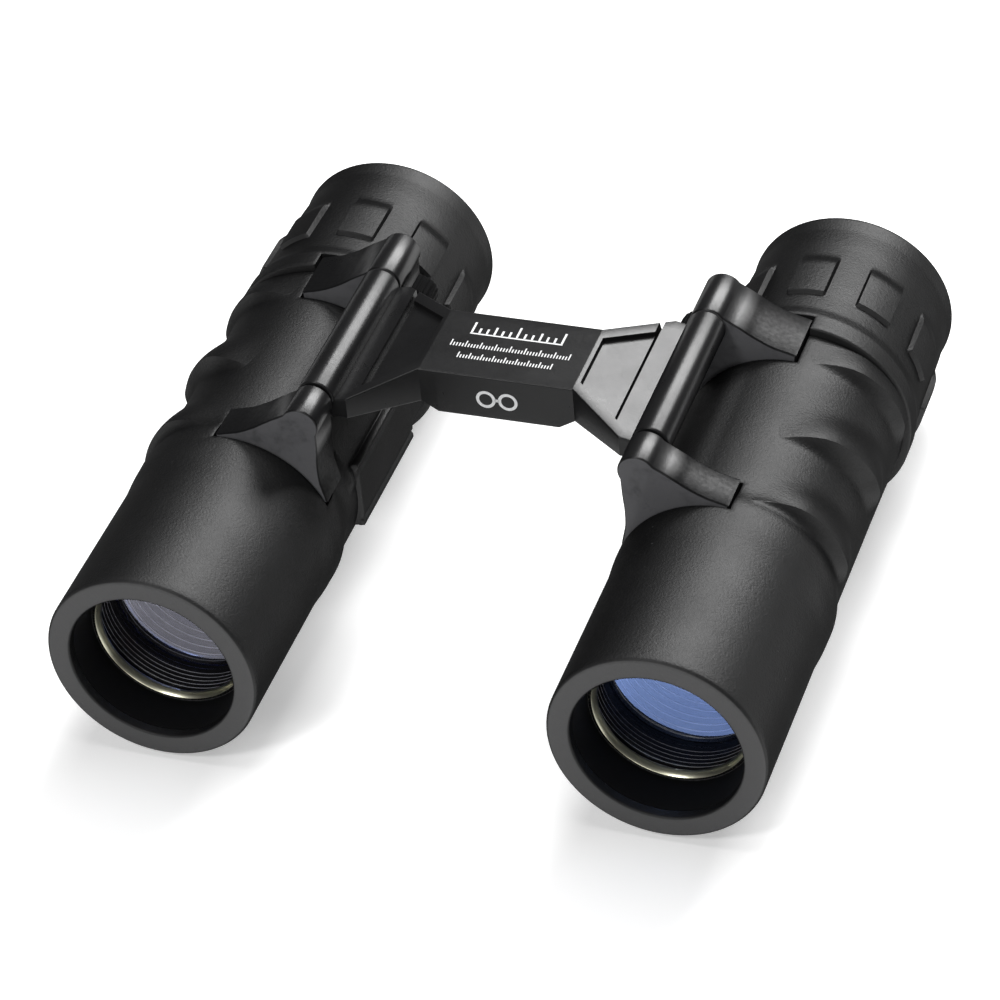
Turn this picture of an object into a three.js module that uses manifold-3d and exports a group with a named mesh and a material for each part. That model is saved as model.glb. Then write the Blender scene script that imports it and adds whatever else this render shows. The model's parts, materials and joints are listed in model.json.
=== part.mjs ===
// Compact roof-prism binoculars with a double hinge, in millimetres.
// +Z is up, the objectives look along -Y and the eyecups are at +Y.
// The two barrels are mirror images, so each piece is made once for the right
// barrel and reflected in X = 0 for the left one.
import * as THREE from 'three';
import { mergeVertices } from 'three/addons/utils/BufferGeometryUtils.js';
import Module from 'manifold-3d';

// ---------------------------------------------------------------- dimensions
const LENGTH = 112;            // objective rim to eyecup rim
const AXIS_X = 38.8;           // barrel axis to the centre plane, barrels spread
const HINGE_X = 26.4;          // hinge axis to the centre plane
const HINGE_Z = 20.5;          // hinge axis above the barrel axis
const AXIS_Z = 17.4;           // barrel axis above the ground
const GAP = 0.3;               // clearance between neighbouring pieces

const RIM_R = 16.5;            // outside of the rubber at the objective
const HOOD_R = 12.9;           // bore of the lens hood and of the tube
const TUBE_R = 14.3;           // outside of the metal tube
const SKIN_R = TUBE_R + GAP;   // inside of the rubber
const TUBE_START = 1.9;
const TUBE_END = 96.2;
const ARMOUR_END = 80.2;       // where the front rubber stops
const CUP_START = 80.6;        // where the rear rubber starts
const CUP_BORE = 13.6;         // hollow of the eyecup
const FLANGE_R = 17.4;         // collar at the front of the rear rubber

const KNUCKLE_R = 3.0;         // hinge barrel
const PIN_R = 1.5;
const BORE_R = PIN_R + GAP;
const FRONT_LUG = [35.7, 42.4];
const REAR_LUG = [73.6, 83.5];
const BRIDGE_KNUCKLE = [43.0, 73.3];
const LUG_HALF = 36;           // half of the lug's spread around the barrel, degrees
const SLOT_HALF = 38.5;        // half of the slot that the rubber leaves for it

const PAD_COUNT = 9;           // raised grip pads around the rear rubber
const PAD_FIRST = 171.5;
const PAD_PITCH = 38.2;
const PAD_HALF = 10.75;
const PAD_Y = [90, 100.5];
const PAD_R = 17.4;

const wasm = await Module();
wasm.setup();

// ------------------------------------------------------------------- helpers
const rad = (deg) => (deg * Math.PI) / 180;

/** Merge the vertices of a closed geometry and turn its faces outward. */
function closed(geometry) {
  const bare = geometry.clone();
  for (const name of ['normal', 'uv']) bare.deleteAttribute(name);
  const merged = mergeVertices(bare, 1e-4);
  const p = merged.attributes.position;
  const index = [...merged.index.array];
  const kept = [];
  let volume = 0;
  const [a, b, c] = [new THREE.Vector3(), new THREE.Vector3(), new THREE.Vector3()];
  for (let i = 0; i < index.length; i += 3) {
    const [i0, i1, i2] = index.slice(i, i + 3);
    if (i0 === i1 || i1 === i2 || i2 === i0) continue;
    kept.push(i0, i1, i2);
    a.fromBufferAttribute(p, i0);
    b.fromBufferAttribute(p, i1);
    c.fromBufferAttribute(p, i2);
    volume += a.dot(b.cross(c));
  }
  if (volume < 0) {
    for (let i = 0; i < kept.length; i += 3) [kept[i], kept[i + 1]] = [kept[i + 1], kept[i]];
  }
  merged.setIndex(kept);
  return merged;
}

/** A closed geometry as a solid that can be cut and joined. */
function solid(geometry) {
  const g = closed(geometry);
  return new wasm.Manifold(new wasm.Mesh({
    numProp: 3,
    vertProperties: new Float32Array(g.attributes.position.array),
    triVerts: new Uint32Array(g.index.array),
  }));
}

/** A cut or joined solid back as a geometry. */
function geometryOf(body) {
  const m = body.getMesh();
  const g = new THREE.BufferGeometry();
  g.setAttribute('position', new THREE.BufferAttribute(new Float32Array(m.vertProperties), 3));
  g.setIndex([...m.triVerts]);
  return g;
}

/** A ring or disc turned about the barrel axis from [radius, y] points. */
function turned(profile, segments = 20) {
  const points = profile.map(([r, y]) => new THREE.Vector2(r, y));
  const first = profile[0];
  const last = profile[profile.length - 1];
  const onAxis = first[0] === 0 && last[0] === 0;
  if (!onAxis) points.push(points[0].clone());
  return closed(new THREE.LatheGeometry(points, segments));
}

/** A plain ring between two radii and two stations. */
const ring = (rIn, rOut, y0, y1, segments = 20) =>
  turned([[rIn, y0], [rOut, y0], [rOut, y1], [rIn, y1]], segments);

/** A rod along Y at [x, z]. */
function rod(x, z, r, y0, y1, segments = 16) {
  const g = turned([[0, y0], [r, y0], [r, y1], [0, y1]], segments);
  return g.translate(x, 0, z);
}

/** An [x, z] outline extruded along Y. */
function along(outline, y0, y1) {
  const shape = new THREE.Shape(outline.map(([x, z]) => new THREE.Vector2(x, z)));
  const g = new THREE.ExtrudeGeometry(shape, { depth: y1 - y0, bevelEnabled: false });
  g.rotateX(Math.PI / 2);       // depth now runs along -Y and the outline stays in XZ
  return closed(g.translate(0, y1, 0));
}

/** A [y, z] outline extruded along X, centred on the barrel axis. */
function across(outline, width) {
  const shape = new THREE.Shape(outline.map(([y, z]) => new THREE.Vector2(y, z)));
  const g = new THREE.ExtrudeGeometry(shape, { depth: width, bevelEnabled: false });
  g.rotateY(Math.PI / 2).rotateX(Math.PI / 2);
  return closed(g);
}

/** Points on an arc about the barrel axis. */
function arc(r, from, to, steps) {
  const points = [];
  for (let i = 0; i <= steps; i++) {
    const t = rad(from + ((to - from) * i) / steps);
    points.push([r * Math.cos(t), r * Math.sin(t)]);
  }
  return points;
}

/** A block that fills a sector about the barrel axis. */
const sector = (rIn, rOut, from, to, y0, y1, steps = 6) =>
  along([...arc(rIn, from, to, steps), ...arc(rOut, to, from, steps)], y0, y1);

/** A tube whose outside radius follows its own rule at each station and angle. */
function sleeve(rows, inside, segments) {
  const position = [];
  const index = [];
  const loops = rows.length + inside.length;
  for (let i = 0; i < loops; i++) {
    for (let j = 0; j < segments; j++) {
      const t = (j * 360) / segments;
      const [r, y] = i < rows.length ? rows[i](t) : inside[i - rows.length];
      position.push(r * Math.cos(rad(t)), y, r * Math.sin(rad(t)));
    }
  }
  for (let i = 0; i < loops; i++) {
    const a = i * segments;
    const b = ((i + 1) % loops) * segments;
    for (let j = 0; j < segments; j++) {
      const k = (j + 1) % segments;
      index.push(a + j, b + j, b + k, a + j, b + k, a + k);
    }
  }
  const g = new THREE.BufferGeometry();
  g.setAttribute('position', new THREE.Float32BufferAttribute(position, 3));
  g.setIndex(index);
  return closed(g);
}

const smooth = (x, a, b) => {
  const t = Math.min(1, Math.max(0, (x - a) / (b - a)));
  return t * t * (3 - 2 * t);
};

// ----------------------------------------------------------- front rubber
// Each row is [y, plain radius, wave radius, how far the wave tip swings forward].
const ARMOUR_ROWS = [
  [0.0, 15.3, 15.3, 0], [0.5, 16.2, 16.2, 0], [1.6, RIM_R, RIM_R, 0],
  [28, 16.5, 16.5, 0], [33, 16.8, 16.8, 1], [36.4, 16.9, 16.9, 2],
  [38.2, 16.6, 16.2, 2.4], [41.2, 16.15, 17.4, 2.7], [44, 16.1, 16.85, 2],
  [48.5, 16.1, 16.45, 1], [55.8, 16.1, 16.35, 4.5], [58.8, 16.1, 17.0, 5.6],
  [60.8, 16.1, 18.05, 6.1], [63.6, 16.1, 17.1, 4.5], [67.5, 16.1, 16.45, 1.5],
  [74.3, 16.1, 16.35, 2], [76.4, 16.15, 17.3, 2.8], [ARMOUR_END, 16.2, 17.1, 0],
];
// Waves run over the outer side of the barrel, from -8 to 78 degrees.
const waveAt = (t) => {
  const u = t > 270 ? t - 360 : t;
  return smooth(u, -14, 10) * (1 - smooth(u, 60, 80));
};
const armourRows = ARMOUR_ROWS.map(([y, plain, wave, swing]) => (t) => {
  const w = waveAt(t);
  const forward = swing * smooth(t > 270 ? 0 : t, 25, 76) * (t < 180 ? 1 - smooth(t, 80, 150) : 0);
  return [plain + (wave - plain) * w, y - forward];
});
const armourInside = [
  [SKIN_R, ARMOUR_END], [SKIN_R, TUBE_START - GAP], [HOOD_R, TUBE_START - GAP], [HOOD_R, 0],
];

// Hinge direction seen from the barrel axis, right barrel.
const HINGE_DX = HINGE_X - AXIS_X;
const HINGE_REACH = Math.hypot(HINGE_DX, HINGE_Z);
const HINGE_DIR = (Math.atan2(HINGE_Z, HINGE_DX) * 180) / Math.PI;

const SIDE_PAD = { y: [46, 70], z: [-6, 6], face: -16.6 };

function armour() {
  let body = solid(sleeve(armourRows, armourInside, 36));
  const pad = new THREE.BoxGeometry(1.8, SIDE_PAD.y[1] - SIDE_PAD.y[0], SIDE_PAD.z[1] - SIDE_PAD.z[0]);
  pad.translate(SIDE_PAD.face + 0.9, (SIDE_PAD.y[0] + SIDE_PAD.y[1]) / 2, 0);
  body = body.add(solid(pad));
  const slot = (y0, y1) =>
    solid(sector(13, 20, HINGE_DIR - SLOT_HALF, HINGE_DIR + SLOT_HALF, y0, y1, 8));
  body = body.subtract(slot(FRONT_LUG[0] - GAP, FRONT_LUG[1] + GAP));
  body = body.subtract(slot(REAR_LUG[0] - GAP, ARMOUR_END + 1));
  return geometryOf(body);
}

// ------------------------------------------------------------ rear rubber
const CUP_ROWS = [
  [CUP_START, FLANGE_R - 0.3], [CUP_START + 0.5, FLANGE_R], [84, FLANGE_R], [86, 16.9],
  [96, 16.6], [105, 16.4], [109, 16.15], [111, 16.35], [111.6, 16.4], [LENGTH, 16.1],
];
const CUP_INSIDE = [
  [14.1, LENGTH], [CUP_BORE, LENGTH - 0.6], [CUP_BORE, TUBE_END + GAP],
  [SKIN_R, TUBE_END + GAP], [SKIN_R, CUP_START],
];
function rearSleeve() {
  let body = solid(sleeve(CUP_ROWS.map(([y, r]) => () => [r, y]), CUP_INSIDE, 32));
  for (let k = 0; k < PAD_COUNT; k++) {
    const mid = PAD_FIRST - k * PAD_PITCH;
    body = body.add(solid(sector(15.5, PAD_R, mid - PAD_HALF, mid + PAD_HALF, ...PAD_Y, 3)));
  }
  const notch = sector(13, 20, HINGE_DIR - SLOT_HALF, HINGE_DIR + SLOT_HALF,
    CUP_START - 1, REAR_LUG[1] + GAP, 8);
  return geometryOf(body.subtract(solid(notch)));
}

// ---------------------------------------------------------------- the tube
const SEAT_Y = 15.1;           // shoulder that the objective sits against
function bodyTube() {
  return turned([
    [HOOD_R, TUBE_START], [TUBE_R, TUBE_START], [TUBE_R, TUBE_END], [HOOD_R, TUBE_END],
    [HOOD_R, SEAT_Y + 1.1], [12.0, SEAT_Y + 1.1], [12.0, SEAT_Y], [HOOD_R, SEAT_Y],
  ], 32);
}

// ------------------------------------------------------------ hinge pieces
// Spread of the lug: [degrees from the hinge direction, radius from the barrel axis].
const LUG_SIDE = [[LUG_HALF, 16.9], [32, 17.15], [28, 17.45], [24, 17.95], [20, 18.85],
  [16, 20.2], [13, 21.5], [10.5, 22.7]];
function lugOutline() {
  const polar = (r, t) => [r * Math.cos(rad(t)), r * Math.sin(rad(t))];
  const points = LUG_SIDE.map(([d, r]) => polar(r, HINGE_DIR - d));
  for (let a = -90; a <= 90; a += 20) {
    const t = rad(HINGE_DIR + a);
    points.push([HINGE_DX + KNUCKLE_R * Math.cos(t), HINGE_Z + KNUCKLE_R * Math.sin(t)]);
  }
  for (const [d, r] of [...LUG_SIDE].reverse()) points.push(polar(r, HINGE_DIR + d));
  return [...points, ...arc(SKIN_R, HINGE_DIR + LUG_HALF, HINGE_DIR - LUG_HALF, 8)];
}
function lug([y0, y1], bores) {
  let body = solid(along(lugOutline(), y0, y1));
  for (const [r, b0, b1] of bores) body = body.subtract(solid(rod(HINGE_DX, HINGE_Z, r, b0, b1)));
  return geometryOf(body);
}
const PIN = [38.2, 80.8];
const CAP = { r: 1.95, y: [81.1, 83.2] };
const frontLug = () => lug(FRONT_LUG, [[BORE_R, PIN[0] - GAP, FRONT_LUG[1] + 1]]);
const rearLug = () => lug(REAR_LUG, [
  [BORE_R, REAR_LUG[0] - 1, REAR_LUG[1] + 1], [CAP.r + 0.25, CAP.y[0] - GAP / 2, REAR_LUG[1] + 1],
]);
function capScrew() {
  const head = solid(rod(HINGE_DX, HINGE_Z, CAP.r, ...CAP.y));
  const slot = new THREE.BoxGeometry(0.6, 1, 6).translate(HINGE_DX, CAP.y[1] + 0.1, HINGE_Z);
  return geometryOf(head.subtract(solid(slot)));
}
const WASHER = { y: [43.3, 44.1], r: 2.2 };
const washer = () => ring(PIN_R + 0.2, WASHER.r, ...WASHER.y, 20).translate(HINGE_DX, 0, HINGE_Z);

// A moulded nylon loop for a strap, standing off the inner flank of the rear lug.
function strapLoop() {
  const inner = [];
  const outer = [];
  for (let i = 0; i <= 8; i++) {
    const s = i / 8;
    const bulge = Math.sin(Math.PI * s);
    const t = HINGE_DIR + 11 + 17 * s;
    const r = 23.6 - 5.2 * s;
    outer.push([(r + 0.2 + 3.2 * bulge) * Math.cos(rad(t)), (r + 0.2 + 3.2 * bulge) * Math.sin(rad(t))]);
    inner.push([(r - 0.9 + 2.6 * bulge) * Math.cos(rad(t)), (r - 0.9 + 2.6 * bulge) * Math.sin(rad(t))]);
  }
  const loop = solid(along([...outer, ...inner.reverse()], 76.6, 81.4));
  const keepOut = solid(along(lugOutline().map(([x, z]) => {
    const [dx, dz] = [x - HINGE_DX / 2, z - HINGE_Z / 2];
    const k = 1 + 0.35 / Math.hypot(dx, dz);
    return [HINGE_DX / 2 + dx * k, HINGE_Z / 2 + dz * k];
  }), 70, 90));
  return geometryOf(loop.subtract(keepOut));
}

// ------------------------------------------------------------------- optics
const LENS_R = HOOD_R - GAP;
/** A lens from its edge radius and the sag of each face (positive bulges out). */
function lens(r, y0, y1, sag0, sag1, steps = 3, segments = 20) {
  const face = (y, sag, dir) => {
    const points = [];
    for (let i = 0; i <= steps; i++) {
      const k = i / steps;
      points.push([r * k, y + dir * sag * (1 - k * k)]);
    }
    return points;
  };
  return turned([...face(y0, sag0, -1), ...face(y1, sag1, 1).reverse()], segments);
}
const objectiveRing = () => turned([
  [11.6, 8.7], [11.4, 8.3], [11.6, 7.9], [LENS_R, 7.5], [LENS_R, 9.2], [11.6, 9.2],
], 24);
const crownLens = () => lens(LENS_R, 9.5, 11.6, 0.9, 1.0, 3, 24);
const flintLens = () => lens(LENS_R, 12.9, SEAT_Y - GAP, -1.0, 0.4, 3, 24);

const BAFFLE = { y: [16.5, 44.5], rings: 6, rOut: LENS_R };
function ridgedBaffle() {
  const [y0, y1] = BAFFLE.y;
  const profile = [[BAFFLE.rOut, y0], [BAFFLE.rOut, y1]];
  for (let i = 0; i < BAFFLE.rings; i++) {
    const a = y1 - ((y1 - y0) * i) / BAFFLE.rings;
    const b = y1 - ((y1 - y0) * (i + 1)) / BAFFLE.rings;
    const edge = 9.2 + (2.2 * (i + 0.5)) / BAFFLE.rings;
    profile.push([edge, a - 0.01 * i], [edge + 1.0, (a + b) / 2 - 0.4]);
  }
  profile.push([11.8, y0]);
  return turned(profile);
}

const CAGE = { y: [46, 79.6], halfX: 8.1, halfZ: 9.3 };
function prismCage() {
  const [y0, y1] = CAGE.y;
  const drum = solid(rod(0, 0, LENS_R, y0, y1, 24));
  const box = new THREE.BoxGeometry(2 * CAGE.halfX, y1 - y0 - 1.6, 2 * CAGE.halfZ);
  const well = solid(box.translate(0, (y0 + y1) / 2 + 1.0, 0));
  const entry = solid(rod(0, 0, 7.5, y0 - 1, y1, 20));
  const window = new THREE.BoxGeometry(9, y1 - y0 - 8, 40).translate(0, (y0 + y1) / 2 + 1, 0);
  return geometryOf(drum.subtract(well).subtract(entry).subtract(solid(window)));
}
const PRISM_HALF_X = 7.8;
const PRISM_Z = 8.5;
const entryPrism = () => across([
  [47.9, PRISM_Z], [47.9, -PRISM_Z], [52.6, -PRISM_Z], [68.2, PRISM_Z],
], 2 * PRISM_HALF_X).translate(-PRISM_HALF_X, 0, 0);
function roofPrism() {
  const side = solid(across([
    [53.2, -PRISM_Z], [78.8, -PRISM_Z], [78.8, PRISM_Z], [68.8, PRISM_Z],
  ], 2 * PRISM_HALF_X).translate(-PRISM_HALF_X, 0, 0));
  const w = PRISM_HALF_X;
  const roof = along([[-w, PRISM_Z], [w, PRISM_Z], [w, w - PRISM_Z], [0, -PRISM_Z],
    [-w, w - PRISM_Z]], 50, 82);
  return geometryOf(side.intersect(solid(roof)));
}
const prismClip = () =>
  new THREE.BoxGeometry(6.5, 22, 0.4).translate(0, 63.2, PRISM_Z + 0.5);
const fieldStop = () => ring(6.5, LENS_R, 80.0, 81.2);

// ----------------------------------------------------------------- eyepiece
const EYE_FACE = 103.2;
const eyepieceCell = () => turned([
  [9.3, 81.6], [LENS_R, 81.6], [LENS_R, TUBE_END + GAP], [CUP_BORE - GAP, TUBE_END + GAP],
  [CUP_BORE - GAP, EYE_FACE - 1.2], [CUP_BORE - 1.5, EYE_FACE], [9.6, EYE_FACE], [8.6, 101.6],
  [8.6, 94.2], [7.6, 94.2], [7.6, 92.2], [9.3, 92.2],
], 24);
const fieldRing = () => ring(7.9, 9.0, 83.4, 85.2);
const fieldLens = () => lens(9.0, 87.4, 90.2, 1.6, 1.4);
const eyeLens = () => lens(8.3, 95.9, 98.0, 1.1, 1.0);
const eyeRing = () => turned([[7.5, 99.2], [8.3, 99.2], [8.3, 100.9], [7.9, 100.9]], 20);

// ------------------------------------------------------------------- bridge
// Each station of the bridge: [x, front y, rear y, underside z, top z].
const BRIDGE_HALF = [
  [8.35, 50.6, 65.5, 14.6, 23.0], [12.2, 50.6, 65.5, 17.7, 23.0],
  [21.5, 43.0, 73.3, 17.9, 21.0], [HINGE_X - 1.2, 43.0, 73.3, 18.1, 21.0],
];
function bridgeSpan() {
  const half = BRIDGE_HALF.map((s) => [...s]);
  const stations = [...half.map(([x, ...s]) => [-x, ...s]).reverse(), ...half];
  const position = [];
  const index = [];
  for (const [x, y0, y1, z0, z1] of stations) {
    position.push(x, y0, z0, x, y1, z0, x, y1, z1, x, y0, z1);
  }
  for (let i = 0; i + 1 < stations.length; i++) {
    for (let j = 0; j < 4; j++) {
      const [a, b] = [4 * i + j, 4 * i + ((j + 1) % 4)];
      index.push(a, b, b + 4, a, b + 4, a + 4);
    }
  }
  const e = 4 * (stations.length - 1);
  index.push(0, 2, 1, 0, 3, 2, e, e + 1, e + 2, e, e + 2, e + 3);
  const g = new THREE.BufferGeometry();
  g.setAttribute('position', new THREE.Float32BufferAttribute(position, 3));
  g.setIndex(index);
  return closed(g);
}
/** The shallow recess in the top of one wing, cut 0.8 mm deep along the slope. */
function wingRecess(side) {
  const slope = (x) => 23.0 - ((x - 12.2) * 2.0) / 9.3;
  const corners = [[12.8, 53.1], [12.8, 63.2], [19.9, 70.0], [19.9, 47.0]];
  const position = [];
  for (const [x, y] of corners) position.push(side * x, y, slope(x) - 0.8);
  for (const [x, y] of corners) position.push(side * x, y, 26);
  const g = new THREE.BufferGeometry();
  g.setAttribute('position', new THREE.Float32BufferAttribute(position, 3));
  g.setIndex([0, 1, 2, 0, 2, 3, 4, 6, 5, 4, 7, 6, 0, 4, 5, 0, 5, 1, 1, 5, 6, 1, 6, 2,
    2, 6, 7, 2, 7, 3, 3, 7, 4, 3, 4, 0]);
  return solid(g);
}
function bridge() {
  let body = solid(bridgeSpan());
  for (const side of [-1, 1]) {
    const x = side * HINGE_X;
    body = body.add(solid(rod(x, HINGE_Z, KNUCKLE_R, ...BRIDGE_KNUCKLE, 20)));
    body = body.subtract(wingRecess(side));
    body = body.subtract(solid(rod(x, HINGE_Z, BORE_R, 40, 76)));
    body = body.subtract(solid(rod(x, HINGE_Z, WASHER.r + 0.2, 42, WASHER.y[1] + 0.25)));
  }
  return geometryOf(body);
}

// ----------------------------------------------------------------- assembly
const group = new THREE.Group();
const paint = (color, roughness, metalness) => ({ color, roughness, metalness });
const RUBBER = paint(0x242527, 0.62, 0.0);
const SATIN = paint(0x2b2d31, 0.38, 0.55);
const BLACK = paint(0x0e0e10, 0.5, 0.1);
const STEEL = paint(0xa9abad, 0.28, 1.0);
const SILVER = paint(0xb3b49f, 0.3, 0.9);
const GLASS = paint(0x8da2c8, 0.05, 0.0);
const PRISM = paint(0xc9d4dc, 0.08, 0.0);
const NYLON = paint(0x08080a, 0.9, 0.0);

function add(name, geometry, look) {
  const mesh = new THREE.Mesh(geometry, new THREE.MeshStandardMaterial(look));
  mesh.name = name;
  group.add(mesh);
}

/** The same geometry reflected in X. */
function mirrored(geometry) {
  return closed(geometry.clone().scale(-1, 1, 1));
}

const PIECES = [
  ['armour', armour, RUBBER], ['rear_sleeve', rearSleeve, RUBBER], ['body_tube', bodyTube, BLACK],
  ['front_hinge_lug', frontLug, SATIN], ['rear_hinge_lug', rearLug, SATIN],
  ['hinge_pin', () => rod(HINGE_DX, HINGE_Z, PIN_R, ...PIN), STEEL],
  ['hinge_cap_screw', capScrew, BLACK], ['friction_washer', washer, BLACK],
  ['strap_loop', strapLoop, NYLON],
  ['objective_ring', objectiveRing, SILVER], ['crown_lens', crownLens, GLASS],
  ['flint_lens', flintLens, GLASS], ['light_baffle', ridgedBaffle, BLACK],
  ['prism_cage', prismCage, BLACK], ['entry_prism', entryPrism, PRISM],
  ['roof_prism', roofPrism, PRISM], ['prism_clip', prismClip, STEEL],
  ['field_stop', fieldStop, BLACK], ['eyepiece_cell', eyepieceCell, BLACK],
  ['field_ring', fieldRing, BLACK], ['field_lens', fieldLens, GLASS],
  ['eye_lens', eyeLens, GLASS], ['eye_ring', eyeRing, BLACK],
];

add('bridge', bridge(), SATIN);
for (const [name, make, look] of PIECES) {
  const piece = make();
  add(`right_${name}`, piece.clone().translate(AXIS_X, 0, 0), look);
  add(`left_${name}`, mirrored(piece).translate(-AXIS_X, 0, 0), look);
}
group.position.set(0, -LENGTH / 2, AXIS_Z);

export default group;
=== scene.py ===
"""Looks of a compact double-hinge pair of binoculars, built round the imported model."""
import json
import math

import bpy
import numpy as np
from mathutils import Matrix, Vector


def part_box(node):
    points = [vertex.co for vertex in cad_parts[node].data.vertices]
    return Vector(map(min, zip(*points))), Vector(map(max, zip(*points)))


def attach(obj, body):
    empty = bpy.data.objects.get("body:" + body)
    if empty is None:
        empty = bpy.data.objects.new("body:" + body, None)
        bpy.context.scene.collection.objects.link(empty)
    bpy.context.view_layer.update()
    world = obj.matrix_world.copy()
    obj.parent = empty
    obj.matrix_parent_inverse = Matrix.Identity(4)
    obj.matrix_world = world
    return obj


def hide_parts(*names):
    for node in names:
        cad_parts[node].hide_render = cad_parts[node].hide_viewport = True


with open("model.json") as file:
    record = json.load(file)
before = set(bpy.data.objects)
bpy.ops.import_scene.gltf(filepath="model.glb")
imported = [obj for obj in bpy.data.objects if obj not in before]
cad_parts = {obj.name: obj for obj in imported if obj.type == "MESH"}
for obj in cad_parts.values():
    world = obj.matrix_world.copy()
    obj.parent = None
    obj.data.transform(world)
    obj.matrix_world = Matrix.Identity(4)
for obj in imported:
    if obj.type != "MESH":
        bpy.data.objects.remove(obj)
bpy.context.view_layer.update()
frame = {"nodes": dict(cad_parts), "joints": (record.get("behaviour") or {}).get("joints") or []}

MM = 0.001

# ------------------------------------------------------------------ datum lines
# The right barrel is the master. x and z are measured from its axis, y from the
# objective rim, all in millimetres. The left barrel is its reflection in X = 0.
tube_low, tube_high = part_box("right_body_tube")
armour_low, armour_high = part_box("right_armour")
sleeve_low, sleeve_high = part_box("right_rear_sleeve")
AXIS_X = (tube_low.x + tube_high.x) / 2 / MM
AXIS_Z = (tube_low.z + tube_high.z) / 2 / MM
RIM_Y = armour_low.y / MM
LENGTH = (sleeve_high.y - armour_low.y) / MM
hinge = next(j for j in frame["joints"] if j["name"] == "right_hinge")["pos_m"]
HINGE_X = hinge[0] / MM - AXIS_X
HINGE_Z = hinge[2] / MM - AXIS_Z
HINGE_DIR = math.degrees(math.atan2(HINGE_Z, HINGE_X))

SKIN_BORE = 14.6               # inner radius of both rubbers, on the 14.3 tube
TUBE_BORE = 12.9               # also the bore of the front hood
GLASS = 12.6                   # radius of the lenses and of what is pressed into the tube
SEAT_FLAT = 16.6               # radius of the seat under the hinge and of the side panel
KNUCKLE = 3.0                  # radius of the hinge tubes
HINGE_SPAN = (43.0, 73.3)      # stations of the two ends of the bridge's hinge tubes
BRIDGE_FRONT, BRIDGE_REAR, BRIDGE_TOP = 50.3, 66.1, 23.0    # its middle part


# ------------------------------------------------------------------ mesh making
def outward_faces(points, quads, caps):
    """The faces of one closed shell, as index arrays, all facing out.

    A quad with two equal corners in a row becomes a triangle. The enclosed volume is
    a sixth of the sum of first . (corner x next corner) over the faces, and when it
    comes out negative every face is turned over.
    """
    quads = np.reshape(quads, (-1, 4))
    kept = quads != np.roll(quads, 1, axis=1)
    corners = np.concatenate([quads[kept], *map(np.asarray, caps)])
    counts = np.concatenate([kept.sum(1), [len(cap) for cap in caps]]).astype(int)
    starts = np.cumsum(counts) - counts
    first = np.repeat(points[corners[starts]], counts, axis=0)
    inner = np.delete(np.arange(len(corners)), starts + counts - 1)
    sides = np.cross(points[corners[inner]], points[corners[inner + 1]])
    if (first[inner] * sides).sum() < 0:
        corners = corners[np.repeat(2 * starts + counts - 1, counts) - np.arange(len(corners))]
    return np.split(corners, starts[1:])


def make_mesh(name, shells, sharp=35.0, attributes=None):
    """One mesh of closed shells, each given as points in millimetres, quads and caps."""
    faces, at = [], 0
    for shell, quads, caps in shells:
        faces += [(face + at).tolist() for face in outward_faces(shell, quads, caps)]
        at += len(shell)
    points = np.concatenate([shell for shell, _, _ in shells])
    mesh = bpy.data.meshes.new(name)
    mesh.from_pydata((points * MM).tolist(), [], faces)
    for key, values in (attributes or {}).items():
        layer = mesh.attributes.new(key, "FLOAT", "POINT")
        layer.data.foreach_set("value", np.asarray(values, np.float32).ravel())
    mesh.polygons.foreach_set("use_smooth", np.ones(len(mesh.polygons), bool))
    mesh.set_sharp_from_angle(angle=math.radians(sharp))
    piece = bpy.data.objects.new(name, mesh)
    bpy.context.scene.collection.objects.link(piece)
    return piece


def ring_quads(rows, columns, close_rows=False):
    """Quads of a grid whose columns close round, numbered row by row."""
    i = np.arange(rows if close_rows else rows - 1)[:, None]
    j = np.arange(columns)[None, :]
    k, n = (j + 1) % columns, (i + 1) % rows
    return np.stack([i * columns + j, n * columns + j, n * columns + k,
                     i * columns + k], -1).reshape(-1, 4)


def end_caps(rows, columns):
    """The first and the last row of a grid, as two caps that fit its quads."""
    return [np.arange(columns), np.arange((rows - 1) * columns, rows * columns)[::-1]]


def to_row(points):
    """Barrel coordinates of the right barrel to the row frame, in millimetres."""
    return np.asarray(points, float) + np.array([AXIS_X, RIM_Y, AXIS_Z])


def both_sides(name, points, quads, caps=(), **mesh):
    """The right piece and its reflection, each riding on its own barrel in its node's place."""
    made = {}
    for side, sign in (("right", 1), ("left", -1)):
        shell = (to_row(points) * [sign, 1, 1], quads, caps)
        piece = make_mesh(f"{side}_{name}", [shell], **mesh)
        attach(piece, f"{side}_barrel")
        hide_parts(f"{side}_{name}")
        made[side] = piece
    return made


def corner_arc(centre, radius, start, end, steps=5):
    """Points on a circular corner, [r, y] pairs, angles in degrees."""
    t = np.radians(np.linspace(start, end, steps))
    return np.stack([centre[0] + radius * np.cos(t), centre[1] + radius * np.sin(t)], 1)


def rounded(profile, radius, steps=4):
    """A closed polygon with each corner replaced by a quadratic curve.

    The curve starts and ends at the given distance from the corner along its two
    sides, and at most 0.45 of the shorter side.
    """
    p = np.asarray(profile, float)
    before, after = np.roll(p, 1, 0) - p, np.roll(p, -1, 0) - p
    reach = np.minimum(radius, 0.45 * np.minimum(np.hypot(*before.T), np.hypot(*after.T)))
    a = p + before * (reach / np.hypot(*before.T))[:, None]
    b = p + after * (reach / np.hypot(*after.T))[:, None]
    t = np.linspace(0, 1, steps)[None, :, None]
    curve = (1 - t) ** 2 * a[:, None] + 2 * t * (1 - t) * p[:, None] + t ** 2 * b[:, None]
    return curve.reshape(-1, 2)


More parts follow.
